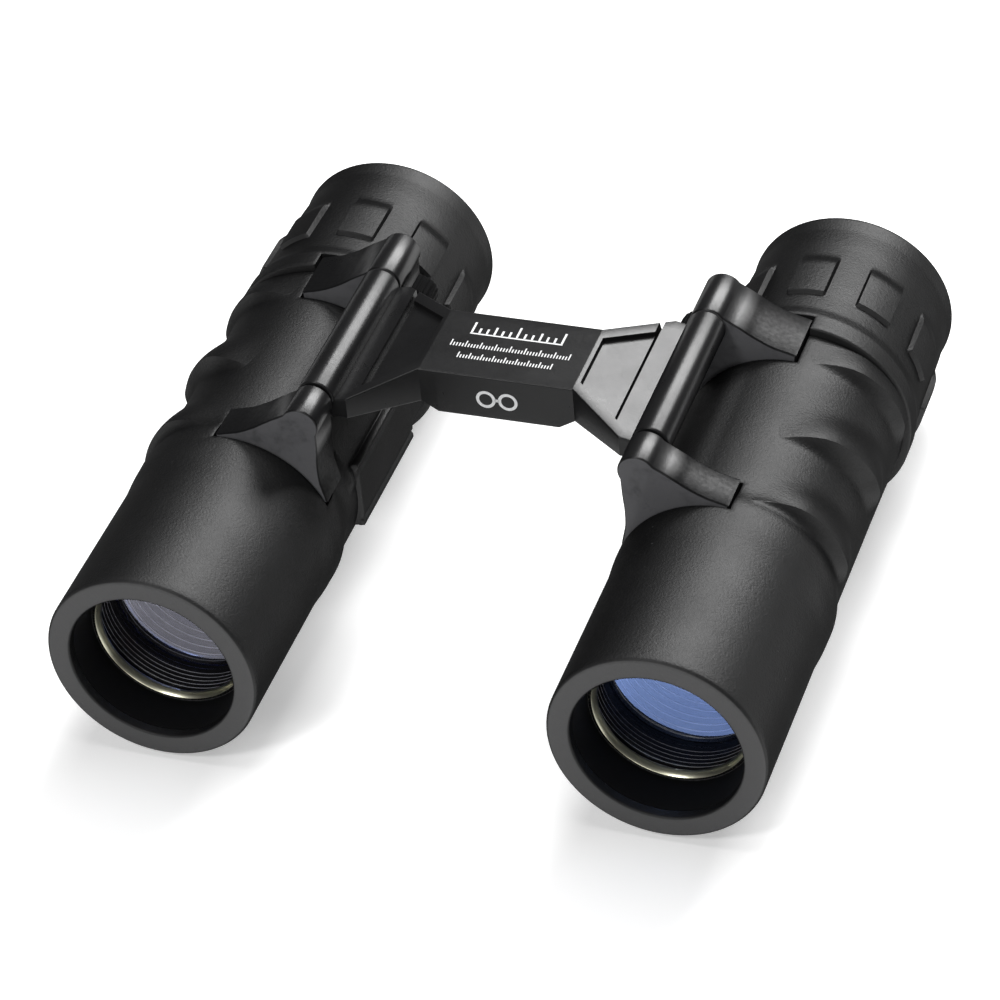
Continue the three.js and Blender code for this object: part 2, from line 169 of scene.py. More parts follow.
def smooth_line(points, count):
    """A Catmull-Rom curve through open points, sampled evenly in its parameter."""
    p = np.asarray(points, float)
    p = np.vstack([2 * p[0] - p[1], p, 2 * p[-1] - p[-2]])
    u = np.linspace(0, len(p) - 3 - 1e-9, count)
    i = u.astype(int)
    t = (u - i)[:, None]
    a, b, c, d = p[i], p[i + 1], p[i + 2], p[i + 3]
    return 0.5 * (2 * b + (c - a) * t + (2 * a - 5 * b + 4 * c - d) * t ** 2
                  + (3 * b - a - 3 * c + d) * t ** 3)


def swept(profile, t):
    """The grid (r cos t, y, r sin t), a row for each [r, y] of the profile."""
    p = np.asarray(profile, float).reshape(-1, 2)
    return np.stack([p[:, :1] * np.cos(t), np.repeat(p[:, 1:], len(t), 1),
                     p[:, :1] * np.sin(t)], -1)


def turned_points(profile, columns=128):
    """A closed [r, y] profile swept evenly round the barrel axis, as a list of points."""
    t = np.linspace(0, 2 * math.pi, columns, endpoint=False)
    return swept(profile, t).reshape(-1, 3)


def turned_pair(name, profile, columns=128, place=(0, 0), marks=None):
    """A turned ring on both barrels; place is the [x, z] of its own axis.

    marks gives attributes with one value for each point of the profile.
    """
    points = turned_points(profile, columns) + [place[0], 0, place[1]]
    return both_sides(name, points, ring_quads(len(profile), columns, True),
                      attributes={k: np.repeat(v, columns) for k, v in (marks or {}).items()})


def step(x, a, b):
    """0 below a, 1 above b, and a smooth cubic between."""
    t = np.clip((x - a) / (b - a), 0, 1)
    return t * t * (3 - 2 * t)


def lines(low, high, pitch, near, offsets):
    """Grid lines at an even pitch, with extra ones at each offset from each edge.

    An even line closer than 0.3 of the pitch to the line before it is left out.
    """
    even = np.arange(low, high + pitch / 2, pitch)
    extra = [e + s * o for e in near for o in offsets for s in (-1, 1)]
    both = np.unique(np.round(np.concatenate([even, extra, [low, high]]), 4))
    both = both[(both >= low) & (both <= high)]
    exact = np.isin(both, np.round(np.asarray(list(extra) + [low, high]), 4))
    keep = [0]
    for i in range(1, len(both)):
        if both[i] - both[keep[-1]] > pitch * 0.3 or exact[i]:
            keep.append(i)
    return both[keep]


# ------------------------------------------------------------------ rubber shells
FRONT_SLOT = 37.3              # half width of the lug windows in the front rubber, degrees
REAR_SLOT = 37.2               # the same in the collar of the rear rubber
SKIN_END = 80.2                # rear end of the front rubber
COLLAR_START, COLLAR_SLOT_END = 80.9, 83.8
SLOTS = ((35.4, 42.7), (73.3, SKIN_END))
PANEL_EDGE, PANEL_GROOVE = 6.0, 4.7     # half widths on the flat side panel
PAD_MIDDLES = [171.5 - 38.2 * k for k in range(9)]     # nine pads, degrees
PAD_HALF, PAD_RADIUS = 10.75, 17.42
CRESTS = (                     # y, height, front, back, swing of the tip, its power
    (42.1, 1.65, 2.6, 9.0, 3.3, 2.0),
    (60.2, 2.05, 3.3, 10.0, 5.2, 1.3),
    (77.2, 1.50, 2.8, 9.0, 3.2, 1.3),
)


def signed_angle(theta):
    """Angle in degrees brought to the range from -180 to 180."""
    return (theta + 180.0) % 360.0 - 180.0


def plain_radius(y):
    """Radius of the front rubber away from the waves: a table joined by cosine steps."""
    table = np.array([(0, 16.5), (28, 16.5), (34, 16.85), (36.6, 16.9), (41.5, 16.1),
                      (60, 16.1), (81, 16.2)])
    i = np.clip(np.searchsorted(table[:, 0], y, "right") - 1, 0, len(table) - 2)
    t = (y - table[i, 0]) / (table[i + 1, 0] - table[i, 0])
    t = (1 - np.cos(np.pi * np.clip(t, 0, 1))) / 2
    return table[i, 1] * (1 - t) + table[i + 1, 1] * t


def swing_of(theta, power):
    """How far round a crest leans forward: 0 at 20 degrees, 1 at 75, and 0 again at 82."""
    a = signed_angle(theta)
    return np.clip((a - 20) / 55, 0, 1) ** power * (1 - step(a, 75, 81.8))


def armour_station(y, theta):
    """Real y of a nominal station: the rows near a crest lean forward with it."""
    lean_all = sum(lean * swing_of(theta, power) * np.exp(-((y - at) / 6.2) ** 2)
                   for at, _, _, _, lean, power in CRESTS)
    return y - lean_all * (1 - step(y, CRESTS[-1][0], SKIN_END))


def armour_radius(y, theta):
    """Radius of the front rubber at nominal station y and angle theta.

    Each wave adds height * (1 + s / front) ** 2.4 ahead of its crest and
    height * (1 + cos(pi s / back)) / 2 behind it, s being the distance from the
    crest. A weight fades the waves in over the outer flank and out at the tip.
    A low seat lies under the hinge. The panel on the inner flank is flat, of radius
    SEAT_FLAT / cos(angle from its middle), with a bell-shaped groove on each side.
    """
    a = signed_angle(theta)
    real = armour_station(y, theta)
    grow = step(79.5 - a, 0, 33)
    weight = step(a, -8, 14) * grow
    r = plain_radius(real)
    for at, height, front, back, lean, power in CRESTS:
        s = real - (at - lean * swing_of(theta, power))
        reach = front * (0.3 + 0.7 * grow)
        ahead = np.clip(1 + s / reach, 0, 1) ** 2.4
        behind = (1 + np.cos(np.pi * np.clip(s / back, 0, 1))) / 2
        r = r + weight * height * np.where(s < 0, ahead, behind)
    seat = step(a, 106, 120) * step(real, 43.4, 44.4) * (1 - step(real, 71.6, 72.6))
    seat = np.where(a > 0, seat * (1 - step(a, 168, 174)), 0)
    r = r + seat * (SEAT_FLAT - np.minimum(r, SEAT_FLAT))
    across = np.abs(signed_angle(theta - 180.0))
    flat = SEAT_FLAT / np.cos(np.radians(np.clip(across, 0, 60)))
    off = flat * np.sin(np.radians(across))
    lane = (1 - step(off, PANEL_EDGE, PANEL_EDGE + 0.35)) * (across < 60)
    lane = lane * step(y, 46.0, 46.4) * (1 - step(y, 69.6, 70.0))
    groove = np.exp(-((off - PANEL_GROOVE) / 0.28) ** 2) * 0.4
    return r * (1 - lane) + np.maximum(r, flat - groove) * lane


def pads(y, theta):
    """1 at the front of the nine raised pads, falling to 0 at their rear and between them.

    The angle away from the nearest pad's middle is the least over the nine, and the
    height is a product of smooth steps across the pad and along it.
    """
    away = np.min([np.abs(signed_angle(theta - middle)) for middle in PAD_MIDDLES], axis=0)
    return ((1 - step(away, PAD_HALF - 1.1, PAD_HALF)) * step(y, 90.0, 90.4)
            * (1 - step(y, 97.5, 101.5)))


def sleeve_radius(y, theta):
    """Radius of the rear rubber: collar, waist, nine pads and a slight flare."""
    table = np.array([(80.6, 17.4), (84.2, 17.4), (86.4, 16.9), (90, 16.75), (96, 16.6),
                      (105, 16.4), (109, 16.2), (LENGTH, 16.5)])
    r = np.interp(y, table[:, 0], table[:, 1])
    return r + pads(y, theta) * (PAD_RADIUS - r)


def slot_lip(y, theta, slots, half, reach=0.3, depth=0.14):
    """How far the skin turns down beside a slot: depth * exp(-distance / reach)."""
    away_angle = np.abs(signed_angle(theta - HINGE_DIR)) - half
    along = np.radians(away_angle) * 16.5      # degrees to millimetres on the skin
    total = 0.0
    for y0, y1 in slots:
        past = np.maximum(np.maximum(y0 - y, y - y1), along)
        total = total + depth * np.exp(-np.clip(past, 0, None) / reach) * (past < 3)
    return total


def rubber_shell(name, nose, y, theta, radius, station, slots, half, tail):
    """A rubber sleeve as one closed skin with windows.

    nose is the [r, y] profile from the inner wall round the front rim, y the
    stations behind it, and tail the profile back to the inner wall at the rear.
    The outside is the grid (r cos t, station, r sin t) with r = radius(y, theta);
    the inside is the same grid at the bore. A window drops its cells from both and
    joins their borders by walls. At the front end its sides are filled by fans.
    """
    columns, t = len(theta), np.radians(theta)
    yy, tt = np.meshgrid(y, theta, indexing="ij")
    r = radius(yy, tt) - slot_lip(yy, tt, slots, half)
    ys = station(yy, tt)
    body = np.stack([r * np.cos(np.radians(tt)), ys, r * np.sin(np.radians(tt))], -1)
    inner = np.stack([SKIN_BORE * np.cos(np.radians(tt)), ys,
                      SKIN_BORE * np.sin(np.radians(tt))], -1)
    grid = np.concatenate([swept(nose, t), body, swept(tail, t), inner[::-1]])
    n, m = len(nose), len(y)
    rows = len(grid)

    def outer(i):
        return n + i

    def inside(i):
        return rows - 1 - i

    def cell(row, column):
        return row * columns + column

    quads = ring_quads(rows, columns, True).reshape(rows, columns, 4)
    keep = np.ones((rows, columns), bool)
    walls = []
    for y0, y1 in slots:
        i0, i1 = np.abs(y - y0).argmin(), np.abs(y - y1).argmin()
        j0 = np.abs(signed_angle(theta - (HINGE_DIR - half))).argmin()
        j1 = np.abs(signed_angle(theta - (HINGE_DIR + half))).argmin()
        keep[outer(i0):outer(i1), j0:j1] = False
        keep[inside(i1):inside(i0), j0:j1] = False
        i, j = np.arange(i0, i1), np.arange(j0, j1)
        for column, turn in ((j0, 1), (j1, -1)):
            wall = [cell(outer(i), column), cell(outer(i + 1), column),
                    cell(inside(i + 1), column), cell(inside(i), column)]
            walls.append(np.stack(wall, -1)[:, ::turn])
        if i0 > 0:
            walls.append(np.stack([cell(outer(i0), j), cell(inside(i0), j),
                                   cell(inside(i0), j + 1), cell(outer(i0), j + 1)], -1))
        if i1 < m - 1:
            walls.append(np.stack([cell(outer(i1), j), cell(outer(i1), j + 1),
                                   cell(inside(i1), j + 1), cell(inside(i1), j)], -1))
        else:
            keep[outer(i1):inside(i1), j0:j1] = False
        if i0 == 0:
            keep[:outer(0), j0:j1] = False
            keep[rows - 1, j0:j1] = False
            for column, turn in ((j0, 1), (j1, -1)):
                fan = cell(np.arange(outer(0) + 1), column)
                hub = np.full(len(fan) - 1, cell(rows - 1, column))
                walls.append(np.stack([hub, fan[:-1], fan[1:], fan[1:]], -1)[:, ::turn])
    used, index = np.unique(np.concatenate([quads[keep]] + walls), return_inverse=True)
    points = grid.reshape(-1, 3)[used]
    # The front face of the rim, which the rubber finish paints lighter as painted light from the
    # front.
    painted_lit_rim_face = (points[:, 1] < 0.2) & (np.hypot(points[:, 0], points[:, 2]) > TUBE_BORE + 0.2)
    return both_sides(name, points, index.reshape(-1, 4), sharp=50.0,
                      attributes={"rim": painted_lit_rim_face})


# Stations and angles are packed close at windows, panel edges, crests and pads.
LIP = (0.0, 0.12, 0.3, 0.6)
PANEL_ANGLES = [side * a for a in (163.0, 157.5, 158.9) for side in (1, -1)]
armour_theta = lines(-180, 180, 1.6, [HINGE_DIR - FRONT_SLOT, HINGE_DIR + FRONT_SLOT]
                     + PANEL_ANGLES, (0.0, 0.35, 0.8))[:-1]
crest_rows = [c[0] + d for c in CRESTS for d in (-0.5, -0.25, -0.12, 0, 0.15, 0.4)]
panel_rows = [46.0, 46.2, 46.4, 69.6, 69.8, 70.0]
armour_y = lines(1.7, SKIN_END, 0.62, [SLOTS[0][0], SLOTS[0][1], SLOTS[1][0]], LIP)
armour_y = np.unique(np.concatenate([armour_y, panel_rows, crest_rows]))
nose = np.vstack([[[TUBE_BORE, 1.7]], corner_arc((13.3, 0.45), 0.42, 180, 262, 4),
                  [[13.6, 0.0], [14.6, 0.0]], corner_arc((15.7, 0.8), 0.8, 272, 352, 7)])
armour = rubber_shell("armour", nose, armour_y, armour_theta, armour_radius,
                      armour_station, SLOTS, FRONT_SLOT, [])

pad_sides = [signed_angle(middle + side * PAD_HALF) for middle in PAD_MIDDLES
             for side in (-1, 1)]
sleeve_theta = lines(-180, 180, 1.8, [HINGE_DIR - REAR_SLOT, HINGE_DIR + REAR_SLOT]
                     + pad_sides, (0.0, 0.55, 1.1))[:-1]
sleeve_y = lines(COLLAR_START, LENGTH - 0.7, 0.55, [COLLAR_SLOT_END], LIP)
sleeve_y = np.unique(np.concatenate([sleeve_y, [90.0, 90.2, 90.4, 100.1, 100.3, 100.5]]))
collar = [[SKIN_BORE, 80.6], [17.1, 80.6], [17.3, 80.68]]
eyecup = [[16.45, LENGTH - 0.35], [16.2, LENGTH - 0.08], [15.8, LENGTH], [14.4, LENGTH],
          [13.9, LENGTH - 0.15], [13.62, LENGTH - 0.55], [13.6, LENGTH - 1.4],
          [13.6, 104.0], [13.6, 96.8], [14.3, 96.5]]
rear_sleeve = rubber_shell("rear_sleeve", collar, sleeve_y, sleeve_theta, sleeve_radius,
                           lambda y, theta: y, ((COLLAR_START, COLLAR_SLOT_END),),
                           REAR_SLOT, eyecup)


# ------------------------------------------------------------------ hinge pieces
# One flank of a lug: degrees from the hinge's direction, and radius.
LUG_SIDE = [(36.0, 16.85), (32, 17.15), (28, 17.5), (24, 18.0), (20, 18.85),
            (16, 20.05), (13, 21.3), (10.2, 22.6)]


def polar(r, degrees):
    """[x, z] of a point at radius r and an angle from +X."""
    t = np.radians(degrees)
    return np.stack([r * np.cos(t), r * np.sin(t)], -1)


def lug_outline():
    """The lug seen along the barrel: knuckle circle, two hollow flanks, inner seat.

    The second result is 1 on the flanks and 0 on the knuckle.
    """
    side = smooth_line(LUG_SIDE, 30)
    cast = np.clip((29 - np.arange(30)) / 5, 0, 1)
    knuckle = np.array([HINGE_X, HINGE_Z]) \
        + polar(KNUCKLE, HINGE_DIR + np.linspace(-88, 88, 29))
    seat = polar(SKIN_BORE, HINGE_DIR + np.linspace(36, -36, 25))
    outline = np.vstack([polar(side[:, 1], HINGE_DIR - side[:, 0]), knuckle,
                         polar(side[::-1, 1], HINGE_DIR + side[::-1, 0]), seat])
    flank = np.concatenate([cast, np.zeros(len(knuckle)), cast[::-1], np.ones(len(seat))])
    return outline, flank


def inset(outline, distance):
    """The outline moved inward along the mean of its two neighbouring edge normals."""
    p = np.asarray(outline, float)
    d = np.roll(p, -1, 0) - np.roll(p, 1, 0)
    normal = np.stack([d[:, 1], -d[:, 0]], 1) / np.hypot(*d.T)[:, None]
    area = (p[:, 0] * np.roll(p[:, 1], -1) - np.roll(p[:, 0], -1) * p[:, 1]).sum()
    return p - normal * distance * np.sign(area)


def soft_slab(name, outline, flank, y0, y1, soft=0.3):
    """An outline carried along Y with rounded edges, and flat caps at both ends.

    Toward an end the outline is inset by soft * (1 - sin c) at a depth of
    soft * (1 - cos c), c going from 0 to 90 degrees.
    """
    c = np.linspace(0, math.pi / 2, 4)
    depth, back = soft * (1 - np.cos(c)), soft * (1 - np.sin(c))
    stations = np.concatenate([y0 + depth, y1 - depth[::-1]])
    insets = np.concatenate([back, back[::-1]])
    n = len(outline)
    outlines = [inset(outline, b) for b in insets]
    points = np.concatenate([np.stack([q[:, 0], np.full(n, y), q[:, 1]], 1)
                             for y, q in zip(stations, outlines)])
    flank = np.concatenate([np.ones(n), np.tile(flank, len(insets) - 2), np.ones(n)])
    made = both_sides(name, points, ring_quads(len(insets), n), end_caps(len(insets), n),
                      attributes={"edge": np.repeat(insets / soft, n), "flank": flank})
    for piece in made.values():
        piece.data.polygons[-1].use_smooth = False
    return made


front_lug = soft_slab("front_hinge_lug", *lug_outline(), 35.7, 42.4)
rear_lug = soft_slab("rear_hinge_lug", *lug_outline(), 73.6, 83.5)

cap_screw = turned_pair("hinge_cap_screw", [
    (0.02, 82.0), (1.9, 82.0), (1.9, 83.62), (1.78, 83.74), (0.95, 83.74), (0.85, 83.66),
    (0.85, 83.56), (0.02, 83.56)], 64, (HINGE_X, HINGE_Z))


# ------------------------------------------------------------------ strap loops
LOOP_STEPS, LOOP_SIDES, LOOP_MIDDLE = 90, 28, 79.0


def strap_loop_points():
    """A ribbed loop that stands off the inner flank of the rear lug.

    Its centre line is an arch in the plane across the barrel, and its section is a
    rounded bar, sign(cos) * |cos| ** p, whose thickness swells by 12% at each rib.
    """
    s = np.linspace(0, 1, LOOP_STEPS)
    centre = polar(23.25 - 5.2 * s + 2.9 * np.sin(np.pi * s), HINGE_DIR + 11 + 17 * s)
    d = np.gradient(centre, axis=0)
    normal = np.stack([d[:, 1], -d[:, 0]], 1) / np.hypot(*d.T)[:, None]
    u = np.linspace(0, 2 * math.pi, LOOP_SIDES, endpoint=False)
    thick = 0.55 * (1 + 0.12 * np.sin(s * 2 * np.pi * 11))[:, None]
    a = thick * np.sign(np.cos(u)) * np.abs(np.cos(u)) ** 0.6
    b = 2.3 * np.sign(np.sin(u)) * np.abs(np.sin(u)) ** 0.35 * np.ones_like(thick)
    x = centre[:, :1] + normal[:, :1] * a
    z = centre[:, 1:] + normal[:, 1:] * a
    return np.stack([x, LOOP_MIDDLE + b, z], -1).reshape(-1, 3)


strap_loop = both_sides("strap_loop", strap_loop_points(), ring_quads(LOOP_STEPS, LOOP_SIDES),
                        end_caps(LOOP_STEPS, LOOP_SIDES))


# ------------------------------------------------------------------ bridge
def bridge_edges(x):
    """Front y, rear y, underside z and top z of the bridge at a distance x from centre."""
    front_end, rear_end = HINGE_SPAN
    front = np.interp(x, [12.2, 21.5], [BRIDGE_FRONT, front_end])
    rear = np.interp(x, [12.2, 21.5], [BRIDGE_REAR, rear_end])
    under = np.interp(x, [0, 9.6, 12.2, 21.5, 30], [15.3, 15.3, 16.9, 17.4, 17.9])
    top = np.interp(x, [0, 12.2, 21.5, 26.4], [BRIDGE_TOP, BRIDGE_TOP, 21.0, 19.95])
    return front, rear, under, top


def bridge_section(x, recess, groove):
    """One closed [y, z] section of the bridge.

    The corners are rounded. The recess is sunk into the top between two margins, and
    the groove runs from the front margin right through the rear edge.
    """
    front, rear, under, top = bridge_edges(x)
    c, margin, wall = 0.32, 2.6, 0.14      # corner radius, margin, and the recess's wall
    t = np.linspace(0, math.pi / 2, 5)

    def corner(y, z, a):
        return np.stack([y + c * np.cos(t + a), z + c * np.sin(t + a)], 1)

    y = np.array([rear - margin, rear - margin - wall * 0.4, rear - margin - wall,
                  front + margin + wall, front + margin + wall * 0.4, front + margin])
    z = top - recess * np.array([0, 0.9, 1, 1, 0.9, 0]) - groove * np.array([1, 1, 1, 1, 0.9, 0])
    return np.vstack([corner(front + c, under + c, math.pi),
                      corner(rear - c, under + c, -math.pi / 2),
                      corner(rear - c, top - c - groove, 0), np.stack([y, z], 1),
                      corner(front + c, top - c, math.pi / 2)])


def bridge_span():
    """Sections from one hinge to the other, close together at each change of slope."""
    marks = [8.35, 9.6, 12.2, 12.8, 12.95, 19.45, 19.55, 20.1, 20.2, 21.5]
    x = lines(0, 25.2, 0.9, marks, (0.0, 0.12))          # the last is inside the hinge tube
    recess = 0.75 * np.clip((x - 12.8) / 0.14, 0, 1) * np.clip((19.6 - x) / 0.1, 0, 1)
    groove = 1.25 * np.clip((x - 19.5) / 0.1, 0, 1) * np.clip((20.2 - x) / 0.12, 0, 1)
    x, recess = np.concatenate([-x[:0:-1], x]), np.concatenate([recess[:0:-1], recess])
    groove = np.concatenate([groove[:0:-1], groove])
    rows = [bridge_section(abs(a), d, g) for a, d, g in zip(x, recess, groove)]
    n = len(rows[0])
    points = np.concatenate([np.column_stack([np.full(n, a), r]) for a, r in zip(x, rows)])
    return points + [0, RIM_Y, AXIS_Z], ring_quads(len(x), n), end_caps(len(x), n)


tube_front, tube_rear = HINGE_SPAN
hinge_tube = rounded([(1.8, tube_front), (KNUCKLE, tube_front), (KNUCKLE, tube_rear),
                      (1.8, tube_rear)], 0.3, 5)
tube_points = to_row(turned_points(hinge_tube, 72) + [HINGE_X, 0, HINGE_Z])
tube_quads = ring_quads(len(hinge_tube), 72, True)
bridge = make_mesh("bridge_casting", [bridge_span()] + [
    (tube_points * [sign, 1, 1], tube_quads, []) for sign in (-1, 1)], sharp=30.0)
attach(bridge, "bridge")
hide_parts("bridge")


# ------------------------------------------------------------------ optics and metal
def lens_profile(r, y0, y1, sag0, sag1, steps=30):
    """A lens's [r, y] outline from the axis: each face is sag * (1 - (r / R) ** 2)."""
    k = np.linspace(0.002, 1, steps)
    front = np.stack([r * k, y0 - sag0 * (1 - k ** 2)], 1)
    back = np.stack([r * k, y1 + sag1 * (1 - k ** 2)], 1)
    return np.vstack([front, back[::-1]])


def lens_pair(name, shape, left_shape=None):
    """A lens on both barrels, closed at the axis by two small caps.

    The film on the front face fades out near the retaining ring.
    """
    made = {}
    for side, sign, form in (("right", 1, shape), ("left", -1, left_shape or shape)):
        profile = lens_profile(*form)
        n, columns = len(profile), 96          # n // 2 of its points are the front face
        film = (np.arange(n) < n // 2) * (1 - step(profile[:, 0], 10.2, 11.0))
        shell = (to_row(turned_points(profile, columns)) * [sign, 1, 1],
                 ring_quads(n, columns), end_caps(n, columns))
        made[side] = make_mesh(f"{side}_{name}", [shell],
                               attributes={"film": np.repeat(film, columns)})
        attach(made[side], f"{side}_barrel")
        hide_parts(f"{side}_{name}")
    return made


def ridges(start, end, count, deep):
    """Stations and ridge heights: deep * ((1 + cos(2 pi k / 8)) / 2) ** 1.5 at station k."""
    y = np.linspace(start, end, count * 8 + 1)
    return y, deep * (0.5 + 0.5 * np.cos(2 * np.pi * np.arange(len(y)) / 8)) ** 1.5


def tube_profile():
    """The barrel tube, its bore ridged round the front lenses, and the ridge heights."""
    wall = rounded([(TUBE_BORE, 1.9), (14.3, 1.9), (14.3, 96.2), (TUBE_BORE, 96.2),
                    (TUBE_BORE, 16.2), (12.0, 16.2), (12.0, 15.1), (TUBE_BORE, 15.1)], 0.1, 3)
    deep = 0.26
    y, ridge = ridges(14.6, 9.5, 6, deep)
    profile = np.vstack([wall, np.stack([TUBE_BORE - ridge, y], 1)])
    return profile, np.concatenate([np.zeros(len(wall)), ridge / deep])


def baffle_profile():
    """The ridged bore behind the lenses on a slow cone, and the ridge heights."""
    deep, rear = 0.6, 44.5
    y, ridge = ridges(rear, 16.6, 20, deep)
    r = 9.4 + 2.3 * (rear - y) / 28 + deep - ridge
    profile = np.vstack([[(GLASS, 16.5), (GLASS, rear)], np.stack([r, y], 1)])
    return profile, np.concatenate([[0, 0], ridge / deep])


tube, tube_ridges = tube_profile()
body_tube = turned_pair("body_tube", tube, marks={"ridge": tube_ridges})
baffle, baffle_ridges = baffle_profile()
light_baffle = turned_pair("light_baffle", baffle, 112, marks={"ridge": baffle_ridges})
objective_ring = turned_pair("objective_ring", [
    (GLASS, 8.3), (GLASS, 9.2), (11.55, 9.2), (11.45, 9.1), (11.43, 8.95), (11.5, 8.7),
    (11.95, 7.98), (12.03, 7.92), (12.1, 7.95), (12.12, 8.3)], 160)
crown_lens = lens_pair("crown_lens", (GLASS, 9.35, 11.6, 0.1, 1.0))
flint_lens = lens_pair("flint_lens", (GLASS, 12.9, 14.8, -0.8, 0.4),
                       (GLASS, 13.0, 14.8, 0.1, 0.4))
eyepiece_cell = turned_pair("eyepiece_cell", rounded(
    [(9.3, 81.6), (GLASS, 81.6), (GLASS, 96.5), (13.3, 96.5), (13.3, 102.4), (12.4, 103.2),
     (9.9, 103.2), (9.2, 102.4), (8.6, 101.4), (8.6, 94.2), (7.6, 94.2), (7.6, 92.2),
     (9.3, 92.2)], 0.25, 4))
eye_ring = turned_pair("eye_ring", rounded(
    [(7.5, 99.2), (8.3, 99.2), (8.3, 101.0), (7.95, 101.0)], 0.12, 4))
eye_lens = lens_pair("eye_lens", (8.3, 95.9, 98.0, 1.1, 1.0))
field_lens = lens_pair("field_lens", (9.0, 87.4, 90.2, 1.6, 1.4))


# ------------------------------------------------------------------ print on the bridge
INK_DEPTH = 0.03


def plate(x, y, wide, tall):
    """A thin flat bar of paint on the bridge's top, centred on x, y."""
    p = np.array([(x - wide / 2, y - tall / 2), (x + wide / 2, y - tall / 2),
                  (x + wide / 2, y + tall / 2), (x - wide / 2, y + tall / 2)])
    z = np.repeat([BRIDGE_TOP, BRIDGE_TOP + INK_DEPTH], 4)
    return np.column_stack([np.vstack([p, p]), z]), ring_quads(2, 4), end_caps(2, 4)


def on_bridge(name, shells):
    """A print made of flat shells, moved from barrel stations to the row frame."""
    return make_mesh(name, [(p + [0, RIM_Y, AXIS_Z], q, c) for p, q, c in shells])


def scale_print():
    """A plain measuring scale in three rows: long ticks, a ruled line, short ticks.

    A row has a half width, a count of ticks, their foot and width, and their heights:
    every so many ticks one is that tall.
    """
    rows = ((7.2, 13, 61.0, 0.34, ((6, 2.6), (3, 1.9), (1, 1.2))),
            (9.4, 41, 57.2, 0.2, ((5, 1.5), (1, 0.85))),
            (7.4, 33, 54.4, 0.2, ((4, 1.4), (1, 0.8))))
    shells = [plate(0, 60.75, 14.8, 0.3)]
    for half, count, foot, wide, heights in rows:
        for i, x in enumerate(np.linspace(-half, half, count)):
            tall = next(height for every, height in heights if i % every == 0)
            shells.append(plate(x, foot + tall / 2, wide, tall))
    return on_bridge("scale_print", shells)


def ring_mark():
    """Two small rings joined by a bar, printed on the front face of the bridge."""
    back, face, middle, segments = BRIDGE_FRONT, BRIDGE_FRONT - INK_DEPTH, 18.9, 48
    profile = [(1.55, back), (1.55, face), (1.05, face), (1.05, back)]
    shells = [(turned_points(profile, segments) + [x, 0, middle],
               ring_quads(4, segments, True), []) for x in (-1.75, 1.75)]
    corners = np.array([(-0.3, -0.25), (0.3, -0.25), (0.3, 0.25), (-0.3, 0.25)])
    bar = np.insert(np.vstack([corners, corners]), 1, np.repeat([face, back], 4), axis=1)
    shells.append((bar + [0, 0, middle], ring_quads(2, 4), end_caps(2, 4)))
    return on_bridge("ring_mark", shells)


prints = [scale_print(), ring_mark()]
for piece in prints:
    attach(piece, "bridge")


# ------------------------------------------------------------------ finishes
class Value:
    """One output of a shader node, with arithmetic that adds Math nodes."""

    def __init__(self, finish, socket):
        self.finish, self.socket = finish, socket

    def _with(self, operation, a, b):
        return self.finish.maths(operation, a, b)

    def __add__(self, other):
        return self._with("ADD", self, other)

    def __radd__(self, other):
        return self._with("ADD", other, self)

    def __sub__(self, other):
        return self._with("SUBTRACT", self, other)

    def __rsub__(self, other):
        return self._with("SUBTRACT", other, self)

    def __mul__(self, other):
        return self._with("MULTIPLY", self, other)

    def __rmul__(self, other):
        return self._with("MULTIPLY", other, self)

    def __pow__(self, other):
        return self._with("POWER", self, other)


